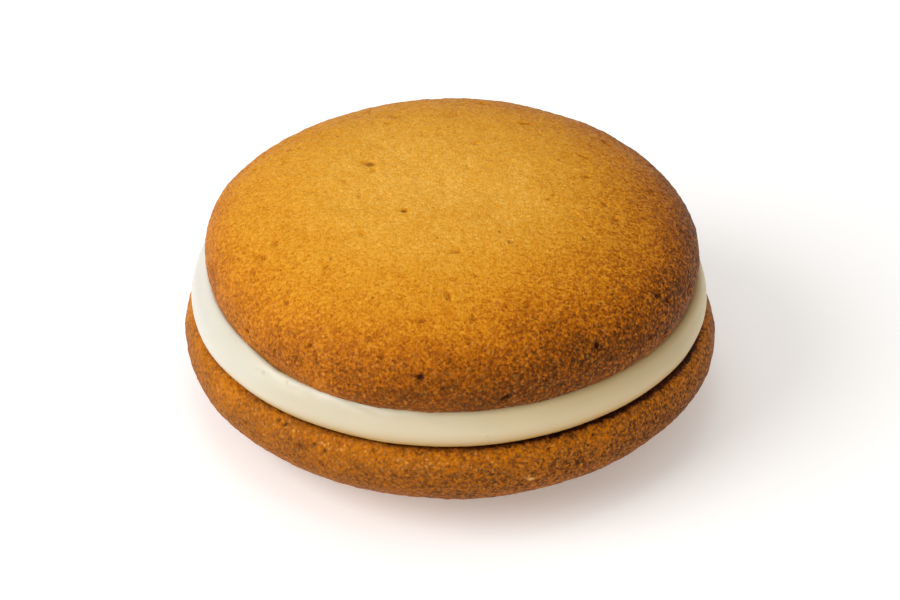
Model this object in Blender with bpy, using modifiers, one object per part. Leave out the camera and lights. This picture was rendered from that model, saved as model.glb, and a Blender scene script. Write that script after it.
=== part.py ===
"""A sandwich cookie: two soft, domed cookies with a thick layer of cream between their flat faces.

Metres, +Z up. The origin is at the centre of the flat spot that the lower cookie rests on.
The lower cookie lies dome down and the upper one dome up, a little forward of it.
"""

import math

import bmesh
import bpy
from mathutils import Matrix, Vector, noise

MM = 0.001

# Lower cookie. Its height runs from the resting spot on its dome up to its flat face.
LOWER_RADIUS = 42.5 * MM
LOWER_HEIGHT = 15.5 * MM
LOWER_EDGE_IN = 3.0 * MM      # how far the rounded edge of the flat face reaches in
LOWER_EDGE_TALL = 4.9 * MM    # from the flat face to the widest level
LOWER_CROWN_RADIUS = 10.0 * MM
LOWER_SHOULDER = 2.1          # fullness of the dome's shoulder

# Upper cookie. Its height runs from its flat face to the top of its dome.
UPPER_RADIUS = 39.5 * MM
UPPER_HEIGHT = 17.1 * MM
UPPER_EDGE_IN = 2.6 * MM
UPPER_EDGE_TALL = 3.7 * MM
UPPER_CROWN_RADIUS = 4.0 * MM
UPPER_SHOULDER = 2.1
UPPER_RIGHT = 0.6 * MM        # it sits a little off the lower cookie's centre
UPPER_FORWARD = 1.6 * MM

# Cream. It swells out past the upper cookie and stops short of the lower one's edge.
CREAM_RADIUS = 41.3 * MM
CREAM_THICKNESS = 6.3 * MM
CREAM_SWELL = 3.2 * MM        # how far its rounded side reaches in
CREAM_BACK = 0.4 * MM
TOUCH_GAP = 0.3 * MM          # between faces that touch

DOME_POWER = 2.35             # fullness of a dome's crown

# Points round the axis, down a dome, round a flat face's edge and down the cream's side.
TURNS = 72
DOME_POINTS = 15
EDGE_POINTS = 4
CREAM_POINTS = 9

# Waves in the outlines of baked dough and piped cream, as (waves, depth, where a crest lies),
# with angles from +X towards +Y.
UPPER_WAVES = ((2, 0.12 * MM, math.radians(-14)), (3, 0.20 * MM, math.radians(20)),
               (4, 0.27 * MM, math.radians(-21)), (5, 0.12 * MM, math.radians(28)),
               (9, 0.08 * MM, math.radians(4)))
LOWER_WAVES = ((2, 0.72 * MM, math.radians(-20)), (3, 0.18 * MM, math.radians(-18)),
               (4, 0.34 * MM, math.radians(-7)), (5, 0.21 * MM, math.radians(2)),
               (11, 0.07 * MM, math.radians(12)))
CREAM_WAVES = ((2, 0.31 * MM, math.radians(9)), (3, 0.41 * MM, math.radians(-32)),
               (4, 0.25 * MM, math.radians(-19)), (5, 0.23 * MM, math.radians(-5)))

# Low swellings of the crust.
SWELLING_WIDTH = 11.0 * MM
SWELLING_HEIGHT = 0.22 * MM
UPPER_SWELLING = 3.0
LOWER_SWELLING = 8.0

# Open pits where bubbles broke through the crust, in millimetres and degrees:
# right and back of the cookie's centre, length, width and turn.
UPPER_PITS = (
    (-12.9, 5.6, 2.4, 1.4, 10), (-7.5, -8.2, 1.3, 1.3, 0), (0.8, -18.5, 2.6, 1.3, 12),
    (-27.7, -12.0, 2.4, 1.2, 20), (-31.5, -12.4, 1.8, 1.3, 40), (-19.2, -19.9, 1.4, 1.3, 0),
    (-5.0, -37.7, 2.0, 1.4, -5), (11.9, 19.3, 2.0, 1.2, 0), (21.4, 9.3, 2.2, 1.4, -25),
    (21.8, -30.6, 1.3, 1.5, 0), (31.1, -20.2, 1.4, 1.6, 0), (-30.4, -16.9, 1.6, 1.6, 0),
)
LOWER_PITS = (
    (-22.7, -34.8, 1.6, 1.6, 30), (-18.6, -36.9, 1.6, 1.6, 10), (22.2, -34.7, 1.6, 1.5, -20),
    (15.7, -38.3, 1.6, 1.5, -35), (-33.6, -24.2, 1.6, 1.5, 50),
)
PIT_DEPTH = 0.7 * MM

CRUST_COLOUR = (0.60, 0.27, 0.06, 1.0)
CREAM_COLOUR = (0.87, 0.80, 0.62, 1.0)
CRUST_ROUGHNESS = 0.6
CREAM_ROUGHNESS = 0.4


def clear_scene():
    for obj in list(bpy.data.objects):
        bpy.data.objects.remove(obj, do_unlink=True)


def new_collection(name):
    collection = bpy.data.collections.new(name)
    bpy.context.scene.collection.children.link(collection)
    return collection


def new_material(name, colour, roughness):
    material = bpy.data.materials.new(name)
    material.use_nodes = True
    surface = material.node_tree.nodes["Principled BSDF"]
    surface.inputs["Base Color"].default_value = colour
    surface.inputs["Roughness"].default_value = roughness
    surface.inputs["Metallic"].default_value = 0.0
    return material


def cookie_profile(radius, height, edge_in, edge_tall, crown_radius, shoulder):
    """Half outline of a cookie, from the top of its dome to the middle of its flat face at z = 0."""
    points = [(0.0, height)]
    for i in range(DOME_POINTS + 1):
        turn = math.pi / 2 * (1 - i / DOME_POINTS)
        across = math.cos(turn) ** (2 / DOME_POWER)
        up = math.sin(turn) ** (2 / shoulder)
        points.append((crown_radius + (radius - crown_radius) * across,
                       edge_tall + (height - edge_tall) * up))
    for i in range(1, EDGE_POINTS + 1):
        turn = math.pi / 2 * i / EDGE_POINTS
        points.append((radius - edge_in * (1 - math.cos(turn)), edge_tall * (1 - math.sin(turn))))
    points += [((radius - edge_in) / 2, 0.0), (0.0, 0.0)]
    return points


def cream_profile(radius, thickness, swell):
    """Half outline of the cream, from the middle of its upper face round its side to its lower face."""
    middle = (radius - swell) / 2
    points = [(0.0, thickness), (middle, thickness)]
    for i in range(CREAM_POINTS + 1):
        turn = math.pi * (0.5 - i / CREAM_POINTS)
        points.append((radius - swell * (1 - math.cos(turn)), thickness / 2 * (1 + math.sin(turn))))
    points += [(middle, 0.0), (0.0, 0.0)]
    return points


def turned(name, profile, collection):
    """Turns a half outline about the Z axis and returns the solid as a plain mesh object."""
    outline = bpy.data.meshes.new(name + "_outline")
    edges = [(i, i + 1) for i in range(len(profile) - 1)]
    outline.from_pydata([(across, 0.0, up) for across, up in profile], edges, [])
    guide = bpy.data.objects.new(name + "_guide", outline)
    collection.objects.link(guide)
    screw = guide.modifiers.new("Turn", "SCREW")
    screw.steps = screw.render_steps = TURNS
    screw.use_merge_vertices = True
    screw.merge_threshold = 0.00001
    graph = bpy.context.evaluated_depsgraph_get()
    solid = bpy.data.meshes.new_from_object(guide.evaluated_get(graph))
    bpy.data.objects.remove(guide)
    obj = bpy.data.objects.new(name, solid)
    collection.objects.link(obj)
    return obj


def push_outline(obj, radius, waves, side):
    """Gives a turned piece its wavy outline. Side is -1 if the piece is to be turned over."""
    for vertex in obj.data.vertices:
        across = math.hypot(vertex.co.x, vertex.co.y)
        if across > 0:
            angle = math.atan2(side * vertex.co.y, vertex.co.x)
            wave = sum(depth * math.cos(count * (angle - crest)) for count, depth, crest in waves)
            outwards = Vector((vertex.co.x, vertex.co.y, 0)) / across
            vertex.co += outwards * wave * (across / radius) ** 3


def swell_crust(obj, height, seed):
    for vertex in obj.data.vertices:
        swelling = noise.noise(vertex.co / SWELLING_WIDTH + Vector((seed, 0, 0)))
        vertex.co.z += SWELLING_HEIGHT * swelling * vertex.co.z / height


def rest_flat(obj, height, crown_radius):
    """Flattens the middle of the dome to one plane, for the cookie to rest on."""
    for vertex in obj.data.vertices:
        across = math.hypot(vertex.co.x, vertex.co.y)
        crown = across < crown_radius * 1.01 and vertex.co.z > height / 2
        vertex.co.z = height if crown else min(vertex.co.z, height)


def cut_pits(obj, pits, side, cutters):
    """Cuts oval pits into the crust of the face that lies up. Side is -1 if the cookie lies dome down."""
    shape = bmesh.new()
    bpy.context.view_layer.update()
    for right, back, length, width, turn in pits:
        start = Vector((right * MM, side * back * MM, side))
        _, centre, _, _ = obj.ray_cast(start, Vector((0, 0, -side)))
        size = Vector((length * MM / 2, width * MM / 2, PIT_DEPTH))
        place = Matrix.LocRotScale(centre, Matrix.Rotation(math.radians(side * turn), 3, "Z"), size)
        bmesh.ops.create_icosphere(shape, subdivisions=1, radius=1.0, matrix=place)
    mesh = bpy.data.meshes.new(obj.name + "_pits")
    shape.to_mesh(mesh)
    shape.free()
    cutter = bpy.data.objects.new(obj.name + "_pits", mesh)
    cutter.parent = obj
    cutter.hide_render = True
    cutter.display_type = "WIRE"
    cutters.objects.link(cutter)
    cut = obj.modifiers.new("Pits", "BOOLEAN")
    cut.operation = "DIFFERENCE"
    cut.object = cutter


def dress(obj, material):
    obj.data.materials.clear()
    obj.data.materials.append(material)
    obj.data.shade_smooth()
    obj.data.set_sharp_from_angle(angle=math.radians(40))


def make_lower_cookie(parts, cutters, crust):
    profile = cookie_profile(LOWER_RADIUS, LOWER_HEIGHT, LOWER_EDGE_IN, LOWER_EDGE_TALL,
                             LOWER_CROWN_RADIUS, LOWER_SHOULDER)
    cookie = turned("lower_cookie", profile, parts)
    push_outline(cookie, LOWER_RADIUS, LOWER_WAVES, side=-1)
    swell_crust(cookie, LOWER_HEIGHT, LOWER_SWELLING)
    rest_flat(cookie, LOWER_HEIGHT, LOWER_CROWN_RADIUS)
    cut_pits(cookie, LOWER_PITS, -1, cutters)
    dress(cookie, crust)
    cookie.location = (0, 0, LOWER_HEIGHT)
    cookie.rotation_euler = (math.pi, 0, 0)
    return cookie


def make_cream(parts, white):
    cream = turned("cream_filling", cream_profile(CREAM_RADIUS, CREAM_THICKNESS, CREAM_SWELL), parts)
    push_outline(cream, CREAM_RADIUS, CREAM_WAVES, side=1)
    dress(cream, white)
    cream.location = (0, CREAM_BACK, LOWER_HEIGHT + TOUCH_GAP)
    return cream


def make_upper_cookie(parts, cutters, crust):
    profile = cookie_profile(UPPER_RADIUS, UPPER_HEIGHT, UPPER_EDGE_IN, UPPER_EDGE_TALL,
                             UPPER_CROWN_RADIUS, UPPER_SHOULDER)
    cookie = turned("upper_cookie", profile, parts)
    push_outline(cookie, UPPER_RADIUS, UPPER_WAVES, side=1)
    swell_crust(cookie, UPPER_HEIGHT, UPPER_SWELLING)
    cut_pits(cookie, UPPER_PITS, 1, cutters)
    dress(cookie, crust)
    cookie.location = (UPPER_RIGHT, -UPPER_FORWARD, LOWER_HEIGHT + CREAM_THICKNESS + 2 * TOUCH_GAP)
    return cookie


def main():
    clear_scene()
    parts = new_collection("sandwich_cookie")
    cutters = new_collection("cutters")
    cutters.hide_render = True
    crust = new_material("golden_crust", CRUST_COLOUR, CRUST_ROUGHNESS)
    white = new_material("vanilla_cream", CREAM_COLOUR, CREAM_ROUGHNESS)
    whole = bpy.data.objects.new("whole_cookie", None)
    parts.objects.link(whole)
    for piece in (make_lower_cookie(parts, cutters, crust),
                  make_cream(parts, white),
                  make_upper_cookie(parts, cutters, crust)):
        piece.parent = whole


main()
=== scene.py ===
import functools
import math
import random

import bmesh
import bpy
import numpy as np
from mathutils import Matrix, Vector, noise


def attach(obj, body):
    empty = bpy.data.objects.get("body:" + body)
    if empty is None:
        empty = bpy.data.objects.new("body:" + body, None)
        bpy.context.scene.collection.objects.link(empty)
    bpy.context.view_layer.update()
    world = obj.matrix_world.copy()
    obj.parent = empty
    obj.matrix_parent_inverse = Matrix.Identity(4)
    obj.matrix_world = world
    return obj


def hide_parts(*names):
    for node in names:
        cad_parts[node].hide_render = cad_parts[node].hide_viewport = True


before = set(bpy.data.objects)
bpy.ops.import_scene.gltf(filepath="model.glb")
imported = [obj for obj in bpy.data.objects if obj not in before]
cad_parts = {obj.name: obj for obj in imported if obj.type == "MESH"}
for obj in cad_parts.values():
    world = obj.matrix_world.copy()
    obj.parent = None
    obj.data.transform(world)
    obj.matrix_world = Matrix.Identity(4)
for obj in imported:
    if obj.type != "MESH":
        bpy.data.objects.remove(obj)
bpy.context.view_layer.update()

# A sandwich cookie in metres, +Z up. Sizes repeat the solids' own, so each piece lies where its solid does.
# A turn is in degrees round the cookie: 0 at the photo's right, -90 at its front.
# "along" is the way down a crust from the middle of its dome, in mm.
mm = 0.001
weldGap = 1e-6
print("frame:", sorted(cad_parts))

photoCamera = {
    "lens": 110.2, "sensor": 36,
    "distance": 450 * mm,
    "elevation": 35.5,             # degrees above the table
    "target": (0.35 * mm, 0.0, 15.2 * mm),
}


def addCamera(view):
    data = bpy.data.cameras.new("photoCamera")
    data.lens = view["lens"]
    data.sensor_width = view["sensor"]
    data.sensor_fit = "HORIZONTAL"
    obj = bpy.data.objects.new("photoCamera", data)
    tilt = math.radians(view["elevation"])
    away = Vector((0, -math.cos(tilt), math.sin(tilt)))
    obj.location = Vector(view["target"]) + view["distance"] * away
    obj.rotation_euler = (math.pi / 2 - tilt, 0, 0)
    bpy.context.collection.objects.link(obj)
    bpy.context.scene.camera = obj


addCamera(photoCamera)
print("camera set")


# Cookies

upperCookie = {
    "radius": 39.5 * mm, "height": 17.1 * mm,
    "edgeIn": 2.6 * mm, "edgeTall": 3.7 * mm,    # the rounded edge between dome and flat face
    "crown": 4.0 * mm, "dome": 2.35, "shoulder": 2.1,    # the dome's flat middle, and how full its curve is
    "side": 1,                     # 1 for dome up, -1 for dome down
    "place": (0.6 * mm, -1.6 * mm, 22.4 * mm),   # the middle of its flat face
    "waves": ((2, 0.12, -14), (3, 0.20, 20), (4, 0.27, -21), (5, 0.12, 28), (9, 0.08, 4)),  # count, mm, turn
    "pattern": 3.0,                # picks its own swellings, crumb and patches
    "fineTo": 50.5 * mm,           # how far along the fine mesh runs
    "tighten": 0.12,               # closer mesh towards the edge
    # how brown it is: along, share
    "bake": ((0, 0.04), (12, 0.08), (20, 0.19), (27, 0.34), (34, 0.51), (40, 0.78), (44, 0.93), (48, 0.97)),
    "bakeSide": 0.32, "bakeTurn": -14,           # browner on this side
    "bakeMost": 1.07,              # before the patches below
    # browner and paler patches: turn, along, mm wide, share
    "patches": (
        (-67, 34.0, 8.0, 0.13), (-165, 42.5, 9.0, 0.11), (-135, 36.0, 9.0, -0.09),
        (-105, 18.0, 12.0, -0.07), (-60, 39.5, 9.0, 0.05), (-15, 42.5, 8.0, -0.04),
        (-120, 46.0, 6.0, -0.16), (0, 24.0, 12.0, 0.05), (-100, 44.5, 6.0, 0.06),
    ),
    "coarse": (0.93, 1.15),        # contrast of the crumb's tones, and how much more on the brown side
    "pitSeed": 5, "smallPits": 260, "rimPits": 0,
    "crest": None, "scars": (), "contactShade": None,
}
lowerCookie = {
    "radius": 42.5 * mm, "height": 15.5 * mm,
    "edgeIn": 3.0 * mm, "edgeTall": 4.9 * mm,
    "crown": 10.0 * mm, "dome": 2.35, "shoulder": 2.1,
    "side": -1,
    "place": (0, 0, 15.5 * mm),
    "waves": ((2, 0.72, -20), (3, 0.18, -18), (4, 0.34, -7), (5, 0.21, 2), (11, 0.07, 12)),
    "pattern": 8.0,
    "fineTo": 57.0 * mm,
    "tighten": 0.35,
    # how brown it is: along, share; from 51.6 mm on, beside the cream, it darkens as painted shade
    "bake": ((42, 0.88), (46, 0.93), (48, 0.87), (49.4, 0.76), (50.8, 0.62), (51.6, 0.67),
             (52.4, 0.90), (54, 1.0)),
    "bakeSide": 0.17, "bakeTurn": -24,
    "bakeMost": 1.10,
    "patches": (
        (-125, 50.8, 7.0, 0.15), (-138, 51.5, 8.0, 0.19), (-155, 51.5, 8.0, 0.18), (-170, 51.0, 8.0, 0.14),
        (-56, 50.6, 5.0, -0.12), (-88, 51.0, 6.0, -0.08), (-70, 50.4, 6.0, -0.08),
    ),
    "coarse": (1.05, 1.2),
    "pitSeed": 11, "smallPits": 300,
    "rimPits": 150, "rimFrom": 51.0, "rimTo": 53.4,      # pores beside the cream
    # a painted highlight along the crest, with more pale flecks there
    "crest": {"along": 50.2, "halfWide": 1.0, "turn": -104, "halfRound": 28},    # paler there
    "scars": ((-72.5, 46.3, 2.6, 1.1, -10),),    # pale scars: turn, along, length, width, twist
    # painted shade along the crease towards the cream: where it begins, how it moves, and how dark it is at
    # most
    "contactShade": {
        "from": 52.1, "fade": 0.7, "ragged": 0.35,
        "lean": 0.3,               # wider on the brown side
        "wider": (0.9, -28, 20),   # mm, at this turn, over these degrees
        "most": 0.62, "moreRight": 0.38,
    },
}
gridCells = 288                    # cells across a cookie's crust
coarseRings = (1.1, 1.3, 1.6, 2.0)               # rings beyond the fine mesh, for the part out of sight

# Relief and tones of both crusts: size in mm, share or height in mm.
crustNoise = {
    "swelling": (11, 0.22),        # fades towards the flat face
    "crumb": ((4.2, 0.07), (1.9, 0.07), (1.0, 0.08), (0.62, 0.07)),
    "tones": ((13, 0.06), (5, 0.06)),
    "ragged": ((1.7, 1.0), (0.7, 0.5)),
    "rimAt": 48,                   # along, from where the edge's own tones are full
    "coarseFrom": 0.2,             # how far round the coarser tones of the brown side begin
    "restFade": 4 * mm,            # how soon relief comes in beside the spot that the cookie rests on
}
pitShape = {
    "deep": 0.55,                  # mm, for a share of 1
    "bowl": (1.4, 0.8),            # how its bowl falls off
    "lip": (1.5, 6, 0.10),         # its raised lip: how far out, how narrow, how tall
    "reach": 2.2,                  # how far from its middle it is looked for, in lengths
    "small": {"from": 0.02, "crowding": 0.55, "wide": (0.45, 0.9), "long": (1.0, 1.8), "share": (0.12, 0.40)},
    "smallAtPole": 0.3,            # how deep the small ones are at the pole, growing to 1 at the edge
    "rim": {"wide": (0.5, 0.9), "long": (1.0, 1.6), "share": (0.25, 0.55)},
}

# Open pits that show one by one: turn, along, length and width in mm, twist in degrees, share of depth.
upperPits = (
    (-97, 41.2, 1.2, 1.0, -12, 1.0), (-132, 11.0, 1.2, 1.0, -46, 0.9), (-54.7, 40.7, 1.2, 0.8, -87, 1.2),
    (-32, 39.0, 1.2, 0.9, -4, 0.9), (-78, 45.3, 2.3, 0.8, -26, 1.0), (-134, 27.8, 1.2, 0.9, -39, 0.6),
    (-136, 36.2, 1.2, 1.0, 73, 0.6), (156, 14.2, 2.2, 1.8, -76, 0.75), (164, 12.8, 1.1, 1.0, 0, 0.5),
    (-124, 40.1, 0.9, 0.7, 71, 0.7), (-30, 40.7, 1.0, 0.9, 16, 0.8), (9, 21.8, 1.2, 0.9, -81, 0.7),
    (-84, 32.0, 1.3, 1.1, 6, 0.6), (-68, 31.2, 1.2, 0.8, -10, 0.6), (-106, 38.9, 0.9, 0.7, -49, 0.6),
    (-140, 25.4, 0.9, 0.8, 29, 0.5), (-156, 30.5, 2.4, 1.0, 25, 0.5), (-98, 32.4, 1.8, 1.0, -1, 0.6),
    (-91, 27.4, 1.8, 0.9, 72, 0.6), (-88, 18.5, 2.4, 1.1, -11, 0.6), (-86, 35.2, 1.1, 0.8, 7, 0.6),
    (-82, 37.3, 0.8, 0.7, -18, 0.6), (-16, 26.8, 1.4, 1.1, 74, 0.6), (24, 23.5, 2.4, 0.8, -36, 0.7),
    (58.6, 23.2, 1.7, 0.9, -32, 0.7), (34, 31.0, 1.9, 0.9, -12, 0.7), (-110, 36.3, 1.2, 0.7, -2, 0.5),
    (-20, 43.2, 1.8, 1.2, -31, 0.6), (-81, 24.0, 1.0, 0.9, -52, 0.5), (-9, 24.4, 1.6, 0.8, -39, 0.7),
    (-40, 43.6, 1.1, 1.0, 81, 0.5), (-92, 42.9, 1.3, 0.7, -52, 0.5), (-34, 45.3, 2.4, 1.0, -53, 0.5),
    (-145, 34.3, 0.9, 0.8, -37, 0.5), (-154, 33.5, 2.1, 1.6, -60, 0.5), (-152, 36.1, 1.3, 0.9, 0, 0.5),
    (-144, 44.3, 0.9, 0.8, 0, 0.9), (-72, 35.2, 0.9, 0.8, 2, 0.5), (-177, 22.0, 1.3, 0.8, -87, 0.5),
    (-136, 19.5, 1.7, 0.9, -46, 0.45), (-16, 15.8, 1.2, 1.0, 40, 0.5), (136, 15.3, 1.2, 0.8, 62, 0.5),
    (53, 4.4, 1.3, 0.8, -49, 0.35), (96, 16.8, 1.1, 1.0, 87, 0.3), (-23, 20.9, 2.2, 1.5, 70, 0.4),
    (53, 28.2, 0.9, 0.9, 0, 0.5), (45, 25.1, 0.9, 0.9, 0, 0.5), (108, 15.1, 0.7, 0.7, 0, 0.5),
    (96, 14.4, 1.7, 1.3, 6, 0.35), (71, 11.9, 1.3, 0.8, -19, 0.5), (-158, 11.6, 1.7, 1.4, -68, 0.35),
    (-166, 14.7, 1.5, 1.2, 0, 0.35), (178, 16.9, 0.7, 0.7, 0, 0.5), (112, 24.1, 2.2, 1.6, 22, 0.4),
    (90, 21.5, 2.0, 1.6, 0, 0.4), (118, 22.1, 1.2, 0.9, 28, 0.5), (80, 29.6, 1.6, 1.4, 0, 0.9),
    (35, 6.9, 1.6, 1.2, -55, 0.35),
)
lowerPits = (
    (-68, 50.6, 1.0, 0.8, 26, 0.7), (-120, 49.5, 1.3, 0.8, 41, 0.7), (-128, 50.8, 1.0, 0.8, 66, 0.7),
    (-123, 48.5, 0.9, 0.8, 56, 0.7), (-130, 51.0, 0.9, 0.8, 38, 0.6), (-117, 49.0, 1.0, 0.8, 50, 0.6),
    (-134, 50.2, 0.9, 0.8, -16, 0.5), (-101, 47.4, 0.9, 0.7, -9, 0.5), (-62, 47.2, 0.9, 0.8, -55, 0.5),
    (-57, 50.8, 0.9, 0.7, 20, 0.6), (-76, 49.7, 0.9, 0.7, 83, 0.5), (-58, 47.2, 0.8, 0.7, -21, 0.4),
    (-89, 48.1, 0.9, 0.7, -61, 0.4), (-40, 48.6, 0.9, 0.8, -29, 0.5),
)


def discOfQuads(cells, rings):
    # a square grid drawn into a disc of radius 1, with rings beyond it
    bm = bmesh.new()
    bmesh.ops.create_grid(bm, x_segments=cells, y_segments=cells, size=1.0)
    for vertex in bm.verts:
        x, y = vertex.co.x, vertex.co.y
        wide = abs(x) >= abs(y)
        reach = abs(x) if wide else abs(y)
        if reach > 0:
            turn = math.pi / 4 * y / x if wide else math.pi / 2 - math.pi / 4 * x / y
            turn += math.pi if (x if wide else y) < 0 else 0
            vertex.co = (reach * math.cos(turn), reach * math.sin(turn), 0)
    rim = [edge for edge in bm.edges if edge.is_boundary]
    for reach in rings:
        grown = bmesh.ops.extrude_edge_only(bm, edges=rim)["geom"]
        rim = [item for item in grown if isinstance(item, bmesh.types.BMEdge)]
        for vertex in (item for item in grown if isinstance(item, bmesh.types.BMVert)):
            vertex.co = vertex.co.normalized() * reach
    return bm


def halfOutline(cookie, domeSteps=800, edgeSteps=100):
    # (way along, across, up) from the dome's pole round the edge to the middle of the flat face
    radius, height, crown = cookie["radius"], cookie["height"], cookie["crown"]
    edgeIn, edgeTall = cookie["edgeIn"], cookie["edgeTall"]
    points = [(0.0, height)]
    for i in range(domeSteps + 1):
        turn = math.pi / 2 * (1 - i / domeSteps)
        points.append((crown + (radius - crown) * math.cos(turn) ** (2 / cookie["dome"]),
                       edgeTall + (height - edgeTall) * math.sin(turn) ** (2 / cookie["shoulder"])))
    for i in range(1, edgeSteps + 1):
        turn = math.pi / 2 * i / edgeSteps
        points.append((radius - edgeIn * (1 - math.cos(turn)), edgeTall * (1 - math.sin(turn))))
    points.append((0.0, 0.0))
    points = np.array(points)
    steps = np.hypot(*np.diff(points, axis=0).T)
    return np.concatenate([[0], np.cumsum(steps)]), points[:, 0], points[:, 1]


def bulge(waves, turn):
    # how far a round outline stands out of true at a turn in radians
    return sum(swell * mm * np.cos(count * (turn - math.radians(crest))) for count, swell, crest in waves)


def onCrust(cookie, outline, along, turn, step=0.3 * mm):
    # points and outward directions of the smooth crust, in the cookie's own frame, dome up
    way, acrossAt, upAt = outline
    across, up = np.interp(along, way, acrossAt), np.interp(along, way, upAt)
    run = np.interp(along + step, way, acrossAt) - np.interp(along - step, way, acrossAt)
    drop = np.interp(along + step, way, upAt) - np.interp(along - step, way, upAt)
    length = np.hypot(run, drop) + 1e-12         # never zero
    across = across + bulge(cookie["waves"], cookie["side"] * turn) * (across / cookie["radius"]) ** 3
    places = np.stack([across * np.cos(turn), across * np.sin(turn), up], axis=1)
    outwards = np.stack([-drop / length * np.cos(turn), -drop / length * np.sin(turn), run / length], axis=1)
    return places, outwards


def pitList(cookie, notable):
    # the notable pits, then seeded small ones, most of them towards the edge, and pores beside the cream
    pits = list(notable)
    small, rim, shallow = pitShape["small"], pitShape["rim"], pitShape["smallAtPole"]
    draw = random.Random(cookie["pitSeed"])
    last = cookie["fineTo"] / mm - 1
    for _ in range(cookie["smallPits"]):
        part = draw.uniform(small["from"], 1.0) ** small["crowding"]
        wide = draw.uniform(*small["wide"])
        pits.append((draw.uniform(-180, 180), last * part, wide * draw.uniform(*small["long"]), wide,
                     draw.uniform(-90, 90), draw.uniform(*small["share"]) * (shallow + (1 - shallow) * part)))
    for _ in range(cookie["rimPits"]):
        wide = draw.uniform(*rim["wide"])
        pits.append((draw.uniform(-180, 180), draw.uniform(cookie["rimFrom"], cookie["rimTo"]),
                     wide * draw.uniform(*rim["long"]), wide,
                     draw.uniform(-90, 90), draw.uniform(*rim["share"])))
    return pits


def ovalOn(cookie, outline, places, turn, along, long, wide, twist):
    # the points near an oval on the crust, and how far out each is, squared, with 1 at the oval's edge
    turn = cookie["side"] * math.radians(turn)
    spot, out = onCrust(cookie, outline, np.array([along * mm]), np.array([turn]))
    near = np.flatnonzero(np.abs(places - spot[0]).max(axis=1) < pitShape["reach"] * long * mm)
    sideways = np.array([-math.sin(turn), math.cos(turn), 0.0])
    poleward = np.cross(out[0], sideways)
    twist = math.radians(twist) * cookie["side"]
    longWay = math.cos(twist) * sideways - math.sin(twist) * poleward
    wideWay = np.cross(out[0], longWay)
    gap = places[near] - spot[0]
    return near, (gap @ longWay / (long * mm / 2)) ** 2 + (gap @ wideWay / (wide * mm / 2)) ** 2


def pressPits(cookie, outline, places, pits):
    # depth in metres and darkness of the pits at each point
    depth, dark = np.zeros(len(places)), np.zeros(len(places))
    bowlPower, bowlRate = pitShape["bowl"]
    lipAt, lipRate, lipTall = pitShape["lip"]
    for *oval, share in pits:
        near, reach = ovalOn(cookie, outline, places, *oval)
        bowl = np.exp(-reach ** bowlPower * bowlRate)
        lip = np.exp(-(np.sqrt(reach) - lipAt) ** 2 * lipRate) * lipTall
        depth[near] += share * pitShape["deep"] * mm * (bowl - lip)
        dark[near] = np.maximum(dark[near], share * bowl)
    return depth, dark


def layered(spot, shift, layers):
    # noise of several sizes, added up
    return sum(share * noise.noise(spot / size + shift) for size, share in layers)


def paintedContactShade(line, way, around, facing, ragged):
    # painted shade: how dark the crust is made in the crease where it meets the cream, more on the right
    wide, turn, spread = line["wider"]
    past = way - line["from"] + line["lean"] * facing
    past += wide * np.exp(-((np.degrees(around) - turn) / spread) ** 2)
    share = np.clip((past + line["ragged"] * ragged) / line["fade"], 0, 1)
    return share * (line["most"] + line["moreRight"] * np.clip(np.cos(around), 0, 1))


# a painted highlight: how pale the lower cookie's crest is made
def paintedCrestHighlight(crest, way, around):
    apart = np.abs((np.degrees(around) - crest["turn"] + 180) % 360 - 180)
    return np.exp(-((way - crest["along"]) / crest["halfWide"]) ** 2 - (apart / crest["halfRound"]) ** 4)


def crustTones(cookie, outline, places, way, around, dark, bake, ragged):
    # how brown, pitted, pale and coarse the crust is at each point, with painted shade along the cream and a
    # painted highlight on the crest
    facing = np.cos(around - math.radians(cookie["bakeTurn"]))
    edge = np.clip(way / crustNoise["rimAt"], 0, 1) ** 2
    bake = bake + np.interp(way, *zip(*cookie["bake"])) + cookie["bakeSide"] * facing * edge
    bake = np.minimum(bake, cookie["bakeMost"])
    for turn, along, wide, share in cookie["patches"]:
        near, gap = ovalOn(cookie, outline, places, turn, along, wide, wide, 0)
        bake[near] += share * np.exp(-gap)
    # painted shade along the crease beside the cream, kept with the pits' darkness
    if cookie["contactShade"]:
        dark = np.maximum(dark, paintedContactShade(cookie["contactShade"], way, around, facing, ragged))
    # a painted highlight on the crest, and pale scars above 1
    crestHighlightAndScar = paintedCrestHighlight(cookie["crest"], way, around) if cookie["crest"] else np.zeros(len(way))
    for scar in cookie["scars"]:
        near, gap = ovalOn(cookie, outline, places, *scar)
        crestHighlightAndScar[near] = np.maximum(crestHighlightAndScar[near], 2.0 * np.exp(-gap))    # above 1 it is a scar
    base, more = cookie["coarse"]
    coarse = base + more * np.clip(facing - crustNoise["coarseFrom"], 0, 1) * edge
    return {"bake": bake, "pitAndShade": dark, "crestHighlightAndScar": crestHighlightAndScar, "coarse": coarse}


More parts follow.
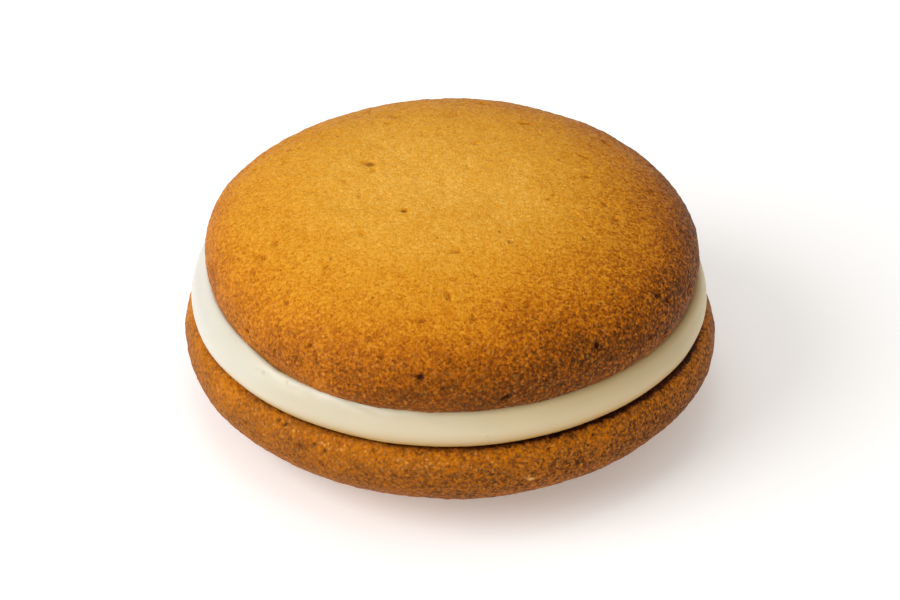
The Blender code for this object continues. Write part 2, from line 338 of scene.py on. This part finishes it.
def makeCookie(name, cookie, notable):
    bm = discOfQuads(gridCells, coarseRings)
    mesh = bpy.data.meshes.new(name)
    bm.to_mesh(mesh)
    bm.free()
    flat = np.empty(len(mesh.vertices) * 3)
    mesh.vertices.foreach_get("co", flat)
    flat = flat.reshape(-1, 3)
    reach, turn = np.hypot(flat[:, 0], flat[:, 1]), np.arctan2(flat[:, 1], flat[:, 0])
    outline = halfOutline(cookie)
    tight, fine = cookie["tighten"], np.minimum(reach, 1)
    along = cookie["fineTo"] * fine * (1 + tight - tight * fine)
    along += (outline[0][-1] - cookie["fineTo"]) * np.maximum(reach - 1, 0)
    places, outwards = onCrust(cookie, outline, along, turn)
    depth, dark = pressPits(cookie, outline, places, pitList(cookie, notable))
    shown = 1 - np.clip((reach - 1) / (coarseRings[0] - 1), 0, 1)
    relief, bake, ragged = (np.empty(len(places)) for _ in range(3))
    shift = Vector((cookie["pattern"], 0, 0))
    swellingSize, swellingTall = crustNoise["swelling"]
    for i, place in enumerate(places):
        spot = Vector(place) / mm
        swelling = noise.noise(spot / swellingSize + shift) * place[2] / cookie["height"]
        relief[i] = swellingTall * swelling + layered(spot, shift, crustNoise["crumb"]) * shown[i]
        bake[i] = layered(spot, shift, crustNoise["tones"])
        ragged[i] = layered(spot, shift, crustNoise["ragged"])
    relief = relief * mm - depth * shown
    if cookie["side"] < 0:         # the middle of the lower dome is pressed flat by the table
        across = np.hypot(places[:, 0], places[:, 1])
        relief *= np.clip((across - cookie["crown"]) / crustNoise["restFade"], 0, 1)
    tones = crustTones(cookie, outline, places, along / mm, cookie["side"] * turn, dark, bake, ragged)
    places = places + outwards * relief[:, None]
    put = Matrix.Translation(cookie["place"])
    if cookie["side"] < 0:
        places[:, 2] = np.minimum(places[:, 2], cookie["height"])
        put = put @ Matrix.Rotation(math.pi, 4, "X")
    mesh.vertices.foreach_set("co", places.astype(np.float32).ravel())
    for key, values in tones.items():
        layer = mesh.attributes.new(key, "FLOAT", "POINT")
        layer.data.foreach_set("value", np.clip(values, 0, 2).astype(np.float32))
    mesh.transform(put)
    bm = bmesh.new()
    bm.from_mesh(mesh)
    bmesh.ops.remove_doubles(bm, verts=bm.verts, dist=weldGap)
    bm.to_mesh(mesh)
    bm.free()
    mesh.shade_smooth()
    obj = bpy.data.objects.new(name, mesh)
    bpy.context.collection.objects.link(obj)
    print(name, len(mesh.polygons), "faces")
    return obj


# Cream

creamLayer = {
    "radius": 41.3 * mm, "thickness": 6.3 * mm, "swell": 3.2 * mm,       # its side swells out this far
    "back": 0.4 * mm, "floor": 15.8 * mm,        # how far back it sits, and the height of its underside
    "fill": 0.28 * mm,             # how far it reaches into the gaps that keep the solids apart
    "waves": ((2, 0.31, 9), (3, 0.41, -32), (4, 0.25, -19), (5, 0.23, -5)),
    "turns": 1080, "rows": 48,     # mesh steps round it and up its side
    "ledge": 12, "ledgeFrom": 0.85,              # and on top, near the side: how many, and from where
    # A level is a share of its height, 0 below and 1 on top. How the left side's share comes in:
    "left": (1.6, 0.1, 0.35),      # gain, offset, turn in radians
    "right": (-120, 60, 110, 90),  # the right side's: from, over, until, over, in degrees
    "soft": (7, 0.10), "fine": (14, 1.1, 0.03),  # unevenness: size and height in mm; round, size up, height
    # its side hangs over the lower cookie's rounded edge, but not at the left
    "sag": 0.7 * mm, "sagLess": 1.3, "sagLevel": (0.16, 0.22),
    # it wells up round the upper cookie's edge, more and further in at the left
    "lift": 0.9 * mm, "liftMore": 1.1, "liftWide": 1.25 * mm,
    "liftAt": 0.2, "liftIn": 0.8, "liftMost": 40.2 * mm, "liftLevel": (0.55, 0.25),
    # a lip of cream under the upper cookie, at the front left, with a crease below it and a white smear
    "lipRound": (-116, 20), "ridge": (0.88, 0.05, 0.16),         # level, half width, mm
    "crease": (0.80, 0.035, 0.14), "creaseWander": (9, 0.03),
    "smear": (0.84, 0.08), "streaks": (5, 14, 0.65, 0.9),
    "bubbles": ((-133.6, 0.80, 0.42), (-127.0, 0.83, 0.36), (-112.0, 0.86, 0.26), (-110.6, 0.87, 0.22),
                (-81.5, 0.42, 0.34)),            # turn, level, mm
    "bubbleRing": (1.3, 0.5, 0.25), "bubbleHollow": (1.5, 0.5), "bubbleReach": 6,
    # painted bounce light: amber fringes below and on top; and painted shade under the upper cookie at the
    # right
    "bounceBelow": (1.3, 0.29), "bounceAbove": (0.08, 0.12, 0.12), "bounceSide": 1.5, "shadeAbove": 0.30,
}


def clamp(value):
    return min(1, max(0, value))


def bell(value, middle, wide, power=2):
    return math.exp(-((value - middle) / wide) ** power)


def creamRound(cream):
    # the round of cream as spun, true and smooth, with its underside at 0
    bm = bmesh.new()
    half = cream["thickness"] / 2 + cream["fill"]
    inner = cream["radius"] - cream["swell"]
    steps, begin = cream["ledge"], cream["ledgeFrom"]
    top = [0, inner / 2] + [inner * (begin + (1 - begin) * i / steps) for i in range(steps)]
    outline = [bm.verts.new((across, 0, 2 * half)) for across in top]
    for i in range(cream["rows"] + 1):
        turn = math.pi * (0.5 - i / cream["rows"])
        across = cream["radius"] - cream["swell"] * (1 - math.cos(turn))
        outline.append(bm.verts.new((across, 0, half * (1 + math.sin(turn)))))
    outline += [bm.verts.new((across, 0, 0)) for across in (0.9 * inner, inner / 2, 0)]
    edges = [bm.edges.new(pair) for pair in zip(outline, outline[1:])]
    bmesh.ops.spin(bm, geom=outline + edges, cent=(0, 0, 0), axis=(0, 0, 1), angle=2 * math.pi,
                   steps=cream["turns"], use_merge=True)
    bmesh.ops.remove_doubles(bm, verts=bm.verts, dist=weldGap)
    bmesh.ops.recalc_face_normals(bm, faces=bm.faces)
    return bm, 2 * half


def sideShares(cream, turn):
    # how much a turn belongs to the photo's left and to its right
    gain, offset, late = cream["left"]
    begin, rise, end, fall = cream["right"]
    degrees = math.degrees(turn)
    leftward = clamp(gain * (offset - math.cos(turn + late)))
    rightward = clamp((degrees - begin) / rise) ** 2 * clamp((end - degrees) / fall)
    return leftward, rightward


def upperEdge(cream, turn):
    # how far the upper cookie's edge is from the cream's own centre
    aside, forward, _ = upperCookie["place"]
    edge = upperCookie["radius"] + bulge(upperCookie["waves"], turn)
    return edge + aside * math.cos(turn) + (forward - cream["back"]) * math.sin(turn)


def sideRelief(cream, spot, turn, level, lip):
    # unevenness of the side in mm, with the lip and the crease below it
    softSize, softTall = cream["soft"]
    fineRound, fineUp, fineTall = cream["fine"]
    wanderSize, wander = cream["creaseWander"]
    ridgeLevel, ridgeWide, ridgeTall = cream["ridge"]
    creaseLevel, creaseWide, creaseDeep = cream["crease"]
    soft = noise.noise(spot / (softSize * mm) + Vector((2, 0, 0))) * softTall
    finePlace = Vector((fineRound * math.cos(turn), fineRound * math.sin(turn), spot.z / (fineUp * mm)))
    fine = noise.noise(finePlace) * fineTall
    creaseLevel += wander * noise.noise(Vector((math.degrees(turn) / wanderSize, 1, 0)))
    ridge, crease = bell(level, ridgeLevel, ridgeWide), bell(level, creaseLevel, creaseWide)
    return soft + fine + lip * (ridgeTall * ridge - creaseDeep * crease)


def makeCream(cream):
    bm, tall = creamRound(cream)
    paintedBounce, smear, shady = (bm.verts.layers.float.new(name) for name in ("paintedBounce", "smear", "shady"))
    liftFrom, liftOver = cream["liftLevel"]
    ringAt, ringWide, ringTall = cream["bubbleRing"]
    hollowRate, hollowDeep = cream["bubbleHollow"]
    belowMost, belowWide = cream["bounceBelow"]
    aboveMost, aboveMore, aboveWide = cream["bounceAbove"]
    streakRound, streakUp, streakBase, streakMore = cream["streaks"]
    for vertex in bm.verts:
        across = math.hypot(vertex.co.x, vertex.co.y)
        if across == 0:
            continue
        turn = math.atan2(vertex.co.y, vertex.co.x)
        degrees = math.degrees(turn)
        outwards = Vector((vertex.co.x, vertex.co.y, 0)) / across
        level = vertex.co.z / tall
        side = max(0, (across - cream["radius"] + cream["swell"]) / cream["swell"])
        leftward, rightward = sideShares(cream, turn)
        lip = bell(degrees, *cream["lipRound"], power=4)
        push = bulge(cream["waves"], turn) * (across / cream["radius"]) ** 3
        vertex.co += outwards * (push + sideRelief(cream, vertex.co, turn, level, lip) * side * mm)
        # the sag below, and the welling up round the upper cookie's edge
        low = bell(level, *cream["sagLevel"])
        vertex.co.z -= cream["sag"] * (1 - cream["sagLess"] * leftward) * low * side
        middle = upperEdge(cream, turn) + (cream["liftAt"] - cream["liftIn"] * leftward) * mm
        welled = bell(across, min(middle, cream["liftMost"]), cream["liftWide"])
        welled *= clamp((level - liftFrom) / liftOver)
        vertex.co.z += cream["lift"] * (1 + cream["liftMore"] * leftward) * welled
        for bubbleTurn, bubbleLevel, size in cream["bubbles"]:
            aside = math.radians(degrees - bubbleTurn) * across / mm
            above = (level - bubbleLevel) * math.pi * cream["swell"] / mm
            gap = (aside ** 2 + above ** 2) / size ** 2
            if gap < cream["bubbleReach"]:
                ring = ringTall * bell(math.sqrt(gap), ringAt, ringWide)
                vertex.co += outwards * mm * size * (ring - hollowDeep * math.exp(-gap * hollowRate))
        # painted bounce light at the fringes, and painted shade under the upper cookie at the right
        bounceFringe = belowMost * bell(level, 0, belowWide)
        bounceFringe += (aboveMost + aboveMore * rightward) * bell(level, 1, aboveWide)
        vertex[paintedBounce] = bounceFringe * min(1, cream["bounceSide"] * side)
        vertex[shady] = rightward * bell(level, 1, cream["shadeAbove"])
        streak = noise.noise(Vector((degrees / streakRound, level * streakUp, 4)))
        vertex[smear] = lip * (streakBase + streakMore * streak) * bell(level, *cream["smear"])
    bmesh.ops.translate(bm, vec=(0, cream["back"], cream["floor"] - cream["fill"]), verts=bm.verts)
    mesh = bpy.data.meshes.new("cream")
    bm.to_mesh(mesh)
    bm.free()
    mesh.shade_smooth()
    obj = bpy.data.objects.new("creamRoll", mesh)
    bpy.context.collection.objects.link(obj)
    print("creamRoll", len(mesh.polygons), "faces")
    return obj


# Materials

def newTree(name):
    material = bpy.data.materials.new(name)
    material.use_nodes = True
    return material, material.node_tree.nodes, material.node_tree.links


def ramp(nodes, links, share, stops):
    node = nodes.new("ShaderNodeValToRGB")
    while len(node.color_ramp.elements) > 1:
        node.color_ramp.elements.remove(node.color_ramp.elements[-1])
    node.color_ramp.elements[0].position = stops[0][0]
    node.color_ramp.elements[0].color = (*stops[0][1], 1)
    for place, colour in stops[1:]:
        node.color_ramp.elements.new(place).color = (*colour, 1)
    links.new(share, node.inputs[0])
    return node.outputs[0]


def mathNode(nodes, links, operation, *values, clamp=False):
    node = nodes.new("ShaderNodeMath")
    node.operation = operation
    node.use_clamp = clamp
    for socket, value in zip(node.inputs, values):
        if isinstance(value, (int, float)):
            socket.default_value = value
        else:
            links.new(value, socket)
    return node.outputs[0]


def mixColour(nodes, links, blend, share, first, second):
    node = nodes.new("ShaderNodeMix")
    node.data_type = "RGBA"
    node.blend_type = blend
    for socket, value in ((node.inputs[0], share), (node.inputs[6], first), (node.inputs[7], second)):
        if isinstance(value, (int, float)):
            socket.default_value = value
        elif isinstance(value, tuple):
            socket.default_value = (*value, 1)
        else:
            links.new(value, socket)
    return node.outputs[2]


def noiseTexture(nodes, links, where, scale, detail):
    node = nodes.new("ShaderNodeTexNoise")
    node.inputs["Detail"].default_value = detail
    links.new(where, node.inputs["Vector"])
    if isinstance(scale, (int, float)):
        node.inputs["Scale"].default_value = scale
    else:
        links.new(scale, node.inputs["Scale"])
    return node


def cellTexture(nodes, links, where, scale):
    # distance to the middle of a cell, and three random numbers for each cell
    node, numbers = nodes.new("ShaderNodeTexVoronoi"), nodes.new("ShaderNodeSeparateColor")
    links.new(where, node.inputs["Vector"])
    links.new(scale, node.inputs["Scale"])
    links.new(node.outputs["Color"], numbers.inputs[0])
    return node.outputs["Distance"], numbers.outputs


def attribute(nodes, name):
    node = nodes.new("ShaderNodeAttribute")
    node.attribute_name = name
    return node.outputs["Fac"]


def bumpFrom(nodes, links, surface, height, strength, distance):
    node = nodes.new("ShaderNodeBump")
    node.inputs["Strength"].default_value = strength
    node.inputs["Distance"].default_value = distance
    links.new(height, node.inputs["Height"])
    links.new(node.outputs["Normal"], surface.inputs["Normal"])


crumbLook = {
    "Grain per metre": 2200.0, "Pores per metre": 620.0, "Pore share": 0.08,     # the group's own inputs
    "grainRough": 0.6,
    "poreSize": (0.22, 0.12), "poreEdge": 9.0, "poreDeep": 1.1,  # most above the least, the least
    "speckScale": 0.7, "speckSize": 0.55, "speckEdge": 2.6,
    "speckFrom": 0.40, "speckGain": 1.6,         # only some cells hold a pale speck
    "domeSize": 0.6, "domeTall": 0.45,
    "cellTone": 0.24, "grainTone": 0.76,
}


def crumbGroup(look):
    # fine baked crumb: a height for bump, pale specks (partly pale crumbs, partly painted glints), dark pores
    # and a mottle round 0.5
    group = bpy.data.node_groups.new("bakedCrumb", "ShaderNodeTree")
    group.interface.new_socket("Vector", in_out="INPUT", socket_type="NodeSocketVector")
    for name in ("Grain per metre", "Pores per metre", "Pore share"):
        socket = group.interface.new_socket(name, in_out="INPUT", socket_type="NodeSocketFloat")
        socket.default_value = look[name]
    for name in ("Height", "Pale", "Dark", "Mottle"):
        group.interface.new_socket(name, in_out="OUTPUT", socket_type="NodeSocketFloat")
    nodes, links = group.nodes, group.links
    calc = functools.partial(mathNode, nodes, links)
    given, made = nodes.new("NodeGroupInput").outputs, nodes.new("NodeGroupOutput").inputs
    where, perMetre = given["Vector"], given["Grain per metre"]

    away, number = cellTexture(nodes, links, where, given["Pores per metre"])
    size = calc("MULTIPLY_ADD", number[1], *look["poreSize"])
    inside = calc("MULTIPLY", calc("SUBTRACT", size, away), look["poreEdge"], clamp=True)
    pore = calc("MULTIPLY", inside, calc("LESS_THAN", number[0], given["Pore share"]))
    links.new(pore, made["Dark"])

    away, number = cellTexture(nodes, links, where, calc("MULTIPLY", perMetre, look["speckScale"]))
    near = calc("MULTIPLY", calc("SUBTRACT", look["speckSize"], away), look["speckEdge"], clamp=True)
    bright = calc("MULTIPLY", calc("SUBTRACT", number[0], look["speckFrom"]), look["speckGain"], clamp=True)
    links.new(calc("MULTIPLY", near, bright), made["Pale"])

    grain = noiseTexture(nodes, links, where, perMetre, 2)
    grain.inputs["Roughness"].default_value = look["grainRough"]
    away, number = cellTexture(nodes, links, where, perMetre)
    dome = calc("MULTIPLY", calc("SUBTRACT", look["domeSize"], away), look["domeTall"])
    height = calc("ADD", grain.outputs["Fac"], dome)
    links.new(calc("SUBTRACT", height, calc("MULTIPLY", pore, look["poreDeep"])), made["Height"])
    grainTone = calc("MULTIPLY", grain.outputs["Fac"], look["grainTone"])
    links.new(calc("MULTIPLY_ADD", number[0], look["cellTone"], grainTone), made["Mottle"])
    return group


crumb = crumbGroup(crumbLook)

# "stops" gives the crust's colour by how brown it is.
crustLook = {
    "upper": {
        "stops": (
            (0.0, (0.84, 0.45, 0.070)), (0.10, (0.77, 0.375, 0.040)), (0.27, (0.70, 0.31, 0.018)),
            (0.44, (0.61, 0.233, 0.007)), (0.61, (0.475, 0.149, 0.002)), (0.78, (0.315, 0.086, 0.001)),
            (0.95, (0.165, 0.044, 0.001)), (1.05, (0.12, 0.034, 0.002)), (1.25, (0.05, 0.015, 0.001)),
        ),
        "pitAndShade": (0.40, 0.27, 0.14), "pale": (0.86, 0.47, 0.12), "sheen": 0.012,
    },
    "lower": {
        "stops": (
            (0.40, (0.54, 0.18, 0.003)), (0.60, (0.45, 0.138, 0.001)), (0.76, (0.32, 0.096, 0.003)),
            (0.88, (0.26, 0.083, 0.008)), (1.0, (0.17, 0.052, 0.004)), (1.25, (0.07, 0.022, 0.002)),
        ),
        "pitAndShade": (0.24, 0.15, 0.08), "pale": (0.84, 0.45, 0.13), "sheen": 0.005,
    },
}
crustFinish = {
    "grainPerMetre": 2300.0,
    "bakeShare": 0.85, "bakeFrom": 0.05,
    "patchesPerMetre": 330, "patchShare": 0.10, "pitShare": 0.24,
    "stopSpan": 0.8,               # brings the stops, which run to 1.25, within a ramp's 0 to 1
    # pale flecks are partly painted glints, with more on the painted crest highlight
    "fleck": 0.19, "fleckMore": 0.34,            # pale flecks everywhere, and more on the pale crest
    "scarFrom": 1.1, "scarShare": 0.9,
    "holeFrom": 0.36, "holeGain": 2.2, "poreShare": 0.35,
    "bumpDistance": 0.16 * mm,
    "rough": 0.42, "roughMore": 0.25, "specular": 0.08,
    "sheenRough": 0.4, "sheenTint": (1.0, 0.86, 0.72, 1),
}


def crustMaterial(name, look, finish):
    material, nodes, links = newTree(name)
    calc = functools.partial(mathNode, nodes, links)
    mix = functools.partial(mixColour, nodes, links)
    surface = nodes["Principled BSDF"]
    where = nodes.new("ShaderNodeTexCoord").outputs["Object"]
    fine = nodes.new("ShaderNodeGroup")
    fine.node_tree = crumb
    fine.inputs["Grain per metre"].default_value = finish["grainPerMetre"]
    links.new(where, fine.inputs["Vector"])
    pitAndShade, crestHighlightAndScar = attribute(nodes, "pitAndShade"), attribute(nodes, "crestHighlightAndScar")
    # how brown: the bake, soft patches, the pits with the painted shade along the cream, and grain that shows
    # more where it is browner
    patches = noiseTexture(nodes, links, where, finish["patchesPerMetre"], 4)
    shade = calc("MULTIPLY_ADD", attribute(nodes, "bake"), finish["bakeShare"], finish["bakeFrom"])
    shade = calc("MULTIPLY_ADD", patches.outputs["Fac"], finish["patchShare"], shade)
    shade = calc("MULTIPLY_ADD", pitAndShade, finish["pitShare"], shade)
    swing = calc("SUBTRACT", fine.outputs["Mottle"], 0.5)
    shade = calc("ADD", shade, calc("MULTIPLY", swing, attribute(nodes, "coarse")))
    span = finish["stopSpan"]
    stops = [(span * place, colour) for place, colour in look["stops"]]
    colour = ramp(nodes, links, calc("MULTIPLY", shade, span), stops)
    # pale flecks (partly painted glints, more on the painted crest highlight) and scars, then dark pits,
    # pores and the painted shade along the cream
    fleck = calc("MULTIPLY_ADD", crestHighlightAndScar, finish["fleckMore"], finish["fleck"])
    fleck = calc("MULTIPLY", fine.outputs["Pale"], fleck)
    scar = calc("MULTIPLY", calc("SUBTRACT", crestHighlightAndScar, finish["scarFrom"]), finish["scarShare"], clamp=True)
    colour = mix("MIX", calc("MAXIMUM", fleck, scar), colour, look["pale"])
    hole = calc("MULTIPLY", calc("SUBTRACT", pitAndShade, finish["holeFrom"]), finish["holeGain"], clamp=True)
    hole = calc("MAXIMUM", hole, calc("MULTIPLY", fine.outputs["Dark"], finish["poreShare"]))
    colour = mix("MULTIPLY", hole, colour, look["pitAndShade"])
    links.new(colour, surface.inputs["Base Color"])
    bumpFrom(nodes, links, surface, fine.outputs["Height"], 1.0, finish["bumpDistance"])
    rough = calc("MULTIPLY_ADD", fine.outputs["Mottle"], finish["roughMore"], finish["rough"])
    links.new(rough, surface.inputs["Roughness"])
    surface.inputs["Specular IOR Level"].default_value = finish["specular"]
    surface.inputs["Sheen Weight"].default_value = look["sheen"]
    surface.inputs["Sheen Roughness"].default_value = finish["sheenRough"]
    surface.inputs["Sheen Tint"].default_value = finish["sheenTint"]
    return material


creamLook = {
    # the colour from left to right as the camera sees it, over this width, with painted shade: darker and
    # yellower towards the right
    "toneWithSideShade": (
        (0.0, (0.60, 0.58, 0.53)), (0.10, (0.59, 0.56, 0.47)), (0.22, (0.575, 0.53, 0.41)),
        (0.5, (0.63, 0.575, 0.425)), (0.64, (0.625, 0.56, 0.395)), (0.80, (0.57, 0.497, 0.33)),
        (0.93, (0.50, 0.43, 0.275)), (1.0, (0.60, 0.53, 0.36)),
    ),
    "sideSpan": 84 * mm,
    "clouds": ((0.3, (0.985, 0.98, 0.965)), (0.7, (1.0, 1.0, 1.0))), "cloudsPerMetre": 140,
    "bounceFringe": (0.46, 0.25, 0.02), "shade": (0.82, 0.76, 0.62),
    "smear": (0.76, 0.73, 0.63), "smearShare": 0.7,
    "airPerMetre": 1500, "bump": 0.10, "bumpDistance": 0.15 * mm,
    "rough": 0.34, "roughMore": 0.15, "specular": 0.4,
    "subsurface": 0.8, "subsurfaceRadius": (1.0, 0.8, 0.5), "subsurfaceScale": 3.0 * mm,
}


def creamMaterial(look):
    material, nodes, links = newTree("vanillaCream")
    calc = functools.partial(mathNode, nodes, links)
    mix = functools.partial(mixColour, nodes, links)
    surface = nodes["Principled BSDF"]
    where = nodes.new("ShaderNodeTexCoord").outputs["Object"]
    clouds = noiseTexture(nodes, links, where, look["cloudsPerMetre"], 3).outputs["Fac"]
    apart = nodes.new("ShaderNodeSeparateXYZ")
    links.new(where, apart.inputs[0])
    # painted shade: the cream's colour grows darker and yellower towards the right
    across = calc("MULTIPLY_ADD", apart.outputs[0], 1 / look["sideSpan"], 0.5)
    toneWithSideShade, tints = ramp(nodes, links, across, look["toneWithSideShade"]), ramp(nodes, links, clouds, look["clouds"])
    colour = mix("MULTIPLY", 1.0, toneWithSideShade, tints)
    # painted bounce light at the fringes, then painted shade under the upper cookie at the right
    colour = mix("MIX", attribute(nodes, "paintedBounce"), colour, look["bounceFringe"])
    colour = mix("MULTIPLY", attribute(nodes, "shady"), colour, look["shade"])
    smear = calc("MULTIPLY", attribute(nodes, "smear"), look["smearShare"], clamp=True)
    colour = mix("MIX", smear, colour, look["smear"])
    links.new(colour, surface.inputs["Base Color"])
    air = noiseTexture(nodes, links, where, look["airPerMetre"], 2)
    bumpFrom(nodes, links, surface, air.outputs["Fac"], look["bump"], look["bumpDistance"])
    links.new(calc("MULTIPLY_ADD", clouds, look["roughMore"], look["rough"]), surface.inputs["Roughness"])
    surface.inputs["Subsurface Weight"].default_value = look["subsurface"]
    surface.inputs["Subsurface Radius"].default_value = look["subsurfaceRadius"]
    surface.inputs["Subsurface Scale"].default_value = look["subsurfaceScale"]
    surface.inputs["Specular IOR Level"].default_value = look["specular"]
    return material


# Building

upper = makeCookie("upperCookie", upperCookie, upperPits)
lower = makeCookie("lowerCookie", lowerCookie, lowerPits)
cream = makeCream(creamLayer)
upper.data.materials.append(crustMaterial("upperCrust", crustLook["upper"], crustFinish))
lower.data.materials.append(crustMaterial("lowerCrust", crustLook["lower"], crustFinish))
cream.data.materials.append(creamMaterial(creamLook))
print("materials made")

for piece, node, slot in ((upper, "upper_cookie", "golden_crust"), (cream, "cream_filling", "vanilla_cream"),
                          (lower, "lower_cookie", "golden_crust")):
    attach(piece, "root")
    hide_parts(node)


# Studio

studio = {
    "floorShade": 0.95, "floorGlow": 0.2, "floorRough": 0.9, "floorHalf": 3.0,
    "worldShade": 0.50,
    "key": {"turn": 200, "rise": 34, "away": 0.9, "size": 0.80, "watts": 6.4, "tint": (0.98, 0.99, 1.0)},
    "top": {"turn": 100, "rise": 75, "away": 0.9, "size": 0.60, "watts": 1.0, "tint": (1.0, 1.0, 1.0)},
    "fill": {"turn": -62, "rise": 18, "away": 0.9, "size": 0.50, "watts": 1.6, "tint": (1.0, 0.66, 0.22)},
}


def addLight(name, light):
    data = bpy.data.lights.new(name, "AREA")
    data.shape = "DISK"
    data.size = light["size"]
    data.energy = light["watts"]
    data.color = light["tint"]
    obj = bpy.data.objects.new(name, data)
    turn, rise = math.radians(light["turn"]), math.radians(light["rise"])
    away = Vector((math.cos(turn) * math.cos(rise), math.sin(turn) * math.cos(rise), math.sin(rise)))
    obj.location = away * light["away"]
    obj.rotation_euler = away.to_track_quat("Z", "Y").to_euler()
    bpy.context.collection.objects.link(obj)


def addFloor(half, shade, glow, rough):
    bm = bmesh.new()
    bmesh.ops.create_grid(bm, x_segments=4, y_segments=4, size=half)
    mesh = bpy.data.meshes.new("floor")
    bm.to_mesh(mesh)
    bm.free()
    material, nodes, _ = newTree("paleFloor")
    surface = nodes["Principled BSDF"]
    surface.inputs["Base Color"].default_value = (shade, shade, shade, 1)
    surface.inputs["Roughness"].default_value = rough
    surface.inputs["Emission Color"].default_value = (1, 1, 1, 1)
    surface.inputs["Emission Strength"].default_value = glow
    mesh.materials.append(material)
    obj = bpy.data.objects.new("floor", mesh)
    bpy.context.collection.objects.link(obj)


addFloor(studio["floorHalf"], studio["floorShade"], studio["floorGlow"], studio["floorRough"])
for lamp in ("key", "top", "fill"):
    addLight(lamp + "Light", studio[lamp])
world = bpy.data.worlds.new("studio")
world.use_nodes = True
world.node_tree.nodes["Background"].inputs[0].default_value = (1, 1, 1, 1)
world.node_tree.nodes["Background"].inputs[1].default_value = studio["worldShade"]
bpy.context.scene.world = world
bpy.context.scene.view_settings.view_transform = "Standard"
print("studio lit")
